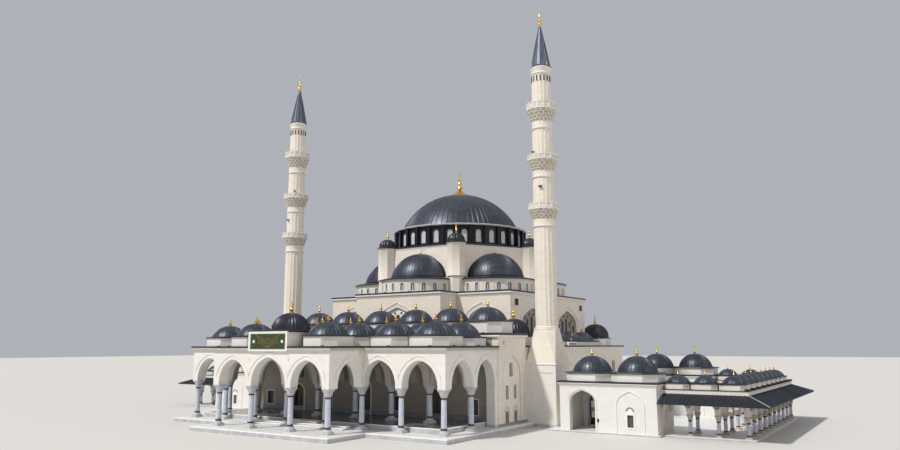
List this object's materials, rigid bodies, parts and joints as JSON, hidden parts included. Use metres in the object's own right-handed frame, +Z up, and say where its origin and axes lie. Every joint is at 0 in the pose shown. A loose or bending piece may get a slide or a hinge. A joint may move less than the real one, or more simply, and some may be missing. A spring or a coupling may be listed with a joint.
{
  "type": "architectural scale model of a domed mosque",
  "caption": "Stone mosque with a central dome on a hexagon of half domes, paired minarets, a domed portico with a porch, and arcaded side courts with gatehouses.",
  "frame": {"origin": "on the ground under the front row of portico columns, on the entrance axis", "axes": "+X to the right when facing the entrance, +Y from the entrance towards the back, +Z up"},
  "size_m": [10.7315, 6.9355, 6.461],
  "materials": {
    "stone": "matt ashlar",
    "pale_stone": "fine matt ashlar",
    "floor_stone": "honed slabs",
    "lead": "dull sheet lead",
    "sign": "glazed",
    "iron": "painted dark"
  },
  "bodies": {
    "root": {"stylobate": "floor_stone", "portico_floor": "floor_stone", "hall_floor": "floor_stone", "court_floor_right": "floor_stone", "court_floor_left": "floor_stone", "porch_arcade": "pale_stone", "front_arcade": "pale_stone", "inner_arcades_right": "pale_stone", "inner_arcades_left": "pale_stone", "portico_side_arcade_right": "pale_stone", "portico_side_arcade_left": "pale_stone", "entrance_block": "pale_stone", "dome_base": "pale_stone", "gatehouse_right": "pale_stone", "gatehouse_left": "pale_stone", "rear_gatehouse_right": "pale_stone", "rear_gatehouse_left": "pale_stone", "gallery_outer_arcade_right": "pale_stone", "gallery_outer_arcade_left": "pale_stone", "gallery_inner_arcade_right": "pale_stone", "gallery_inner_arcade_left": "pale_stone", "narthex_walls": "stone", "narthex_rear_arcade": "stone", "aisle_wall_right": "stone", "aisle_wall_left": "stone", "rear_wall_right": "stone", "rear_wall_left": "stone", "hall_front_wall": "stone", "hall_rear_wall": "stone", "hall_side_wall_right": "stone", "hall_side_wall_left": "stone", "window_drum": "stone", "minaret_base_right": "stone", "minaret_base_left": "stone", "minaret_shaft_right": "stone", "minaret_shaft_left": "stone", "porch_roof_right": "lead", "porch_roof_left": "lead", "portico_roof": "lead", "entrance_dome": "lead", "narthex_roof": "lead", "aisle_roof_right": "lead", "aisle_roof_left": "lead", "hall_roof": "lead", "half_dome_front": "lead", "half_dome_front_right": "lead", "half_dome_rear_right": "lead", "half_dome_rear": "lead", "half_dome_rear_left": "lead", "half_dome_front_left": "lead", "main_dome": "lead", "minaret_spire_right": "lead", "minaret_spire_left": "lead", "gatehouse_roof_right": "lead", "gatehouse_roof_left": "lead", "gallery_roof_right": "lead", "gallery_roof_left": "lead", "entrance_sign": "sign"},
    "leaf_inner": {"gate_leaf_inner": "iron"},
    "leaf_outer": {"gate_leaf_outer": "iron"}
  },
  "joints": [
    {"name": "gate_inner_hinge", "type": "hinge", "parent": "root", "child": "leaf_inner", "pos_m": [3.18122, 2.43, 0.1], "axis": [0, 0, 1], "range_deg": [0, 90]},
    {"name": "gate_outer_hinge", "type": "hinge", "parent": "root", "child": "leaf_outer", "pos_m": [3.53328, 2.43, 0.1], "axis": [0, 0, -1], "range_deg": [0, 90]}
  ]
}
